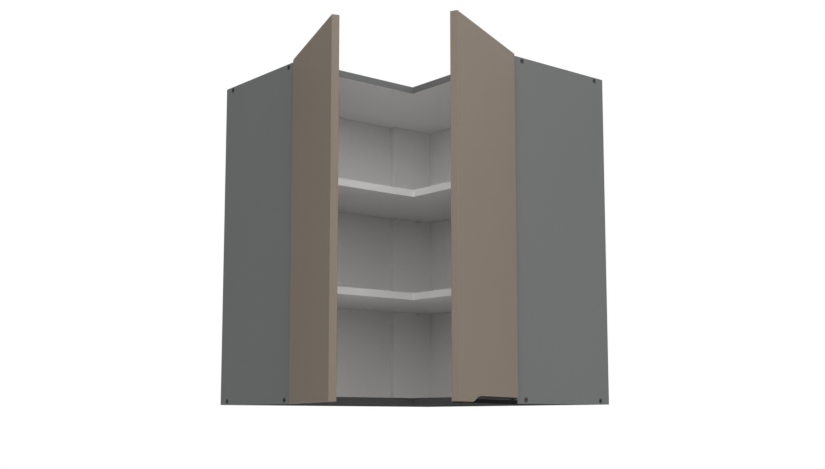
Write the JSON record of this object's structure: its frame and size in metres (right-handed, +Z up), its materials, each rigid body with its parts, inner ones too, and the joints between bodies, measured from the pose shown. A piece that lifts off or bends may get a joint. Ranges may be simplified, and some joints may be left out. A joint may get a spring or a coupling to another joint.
{
  "type": "corner wall cabinet",
  "caption": "L-shaped corner wall cabinet for a kitchen with open shelves inside, two board doors on wide-angle cup hinges and a hand-recess strip under the right door.",
  "frame": {"origin": "the corner of the room at the height of the cabinet's underside, where both rear faces and the underside meet", "axes": "+Z up; the wall behind one wing is the plane X = 0 and that wing runs along -Y; the wall behind the other is Y = 0 and that wing runs along +X"},
  "size_m": [0.7291, 0.7128, 0.718],
  "materials": {
    "grey_board": "chipboard faced with matt dark grey melamine outside and white melamine inside",
    "dark_board": "chipboard faced with matt anthracite melamine below and on the front edge, white above",
    "white_board": "chipboard faced with white melamine, fine pearl texture",
    "white_sheet": "thin hardboard lacquered white on its inner face",
    "beige_board": "board faced with smooth matt grey-beige melamine, edges banded to match",
    "black_metal": "rolled strip with a satin black coat",
    "steel": "nickel-plated pressed steel",
    "dark_steel": "dark zinc-plated screw steel",
    "white_plastic": "moulded white plastic, fine matt",
    "clear_plastic": "soft clear plastic door buffer"
  },
  "bodies": {
    "carcass": {"top_panel": "grey_board", "bottom_panel": "dark_board", "corner_post": "white_board", "left_back_sheet": "white_sheet", "right_back_sheet": "white_sheet", "lower_shelf": "white_board", "upper_shelf": "white_board", "lower_shelf_corner_pin": "white_plastic", "upper_shelf_corner_pin": "white_plastic", "left_end_panel": "grey_board", "left_top_rear_screw": "dark_steel", "left_top_front_screw": "dark_steel", "left_bottom_rear_screw": "dark_steel", "left_bottom_front_screw": "dark_steel", "left_lower_shelf_front_pin": "white_plastic", "left_lower_shelf_rear_pin": "white_plastic", "left_upper_shelf_front_pin": "white_plastic", "left_upper_shelf_rear_pin": "white_plastic", "left_hanger_housing": "white_plastic", "left_hanger_hook": "steel", "left_upper_hinge_mounting_plate": "steel", "left_upper_hinge_arm": "steel", "left_lower_hinge_mounting_plate": "steel", "left_lower_hinge_arm": "steel", "right_end_panel": "grey_board", "right_top_rear_screw": "dark_steel", "right_top_front_screw": "dark_steel", "right_bottom_rear_screw": "dark_steel", "right_bottom_front_screw": "dark_steel", "right_lower_shelf_front_pin": "white_plastic", "right_lower_shelf_rear_pin": "white_plastic", "right_upper_shelf_front_pin": "white_plastic", "right_upper_shelf_rear_pin": "white_plastic", "right_hanger_housing": "white_plastic", "right_hanger_hook": "steel", "right_upper_hinge_mounting_plate": "steel", "right_upper_hinge_arm": "steel", "right_lower_hinge_mounting_plate": "steel", "right_lower_hinge_arm": "steel"},
    "right_rear_links": {"right_upper_hinge_rear_link": "steel", "right_lower_hinge_rear_link": "steel"},
    "right_front_links": {"right_upper_hinge_front_link": "steel", "right_lower_hinge_front_link": "steel"},
    "right_door": {"right_door": "beige_board", "right_grip_profile": "black_metal", "right_upper_bumper": "clear_plastic", "right_lower_bumper": "clear_plastic", "right_upper_hinge_cup": "steel", "right_lower_hinge_cup": "steel"},
    "left_rear_links": {"left_upper_hinge_rear_link": "steel", "left_lower_hinge_rear_link": "steel"},
    "left_front_links": {"left_upper_hinge_front_link": "steel", "left_lower_hinge_front_link": "steel"},
    "left_door": {"left_door": "beige_board", "left_upper_bumper": "clear_plastic", "left_lower_bumper": "clear_plastic", "left_upper_hinge_cup": "steel", "left_lower_hinge_cup": "steel"}
  },
  "joints": [
    {"name": "right_rear_link_turn", "type": "hinge", "parent": "carcass", "child": "right_rear_links", "pos_m": [0.5758, -0.2835, 0.357], "axis": [0, 0, 1], "range_deg": [-124.76, 7.04]},
    {"name": "right_front_link_turn", "type": "hinge", "parent": "right_rear_links", "child": "right_front_links", "pos_m": [0.58473, -0.30027, 0.357], "axis": [0, 0, 1], "range_deg": [-6.5, 114.5]},
    {"name": "right_door_swing", "type": "hinge", "parent": "right_front_links", "child": "right_door", "pos_m": [0.60942, -0.30704, 0.357], "axis": [0, 0, 1], "range_deg": [-103.74, 5.46]},
    {"name": "left_rear_link_turn", "type": "hinge", "parent": "carcass", "child": "left_rear_links", "pos_m": [0.2835, -0.5758, 0.357], "axis": [0, 0, -1], "range_deg": [-120.4, 11.4]},
    {"name": "left_front_link_turn", "type": "hinge", "parent": "left_rear_links", "child": "left_front_links", "pos_m": [0.3009, -0.58343, 0.357], "axis": [0, 0, -1], "range_deg": [-10.5, 110.5]},
    {"name": "left_door_swing", "type": "hinge", "parent": "left_front_links", "child": "left_door", "pos_m": [0.30783, -0.60808, 0.357], "axis": [0, 0, -1], "range_deg": [-100.1, 9.1]}
  ],
  "couplings": [
    {"joint": "right_rear_link_turn", "follows": "right_door_swing", "ratio": 1.1978},
    {"joint": "right_front_link_turn", "follows": "right_door_swing", "ratio": -1.0989},
    {"joint": "left_rear_link_turn", "follows": "left_door_swing", "ratio": 1.1978},
    {"joint": "left_front_link_turn", "follows": "left_door_swing", "ratio": -1.0989}
  ]
}
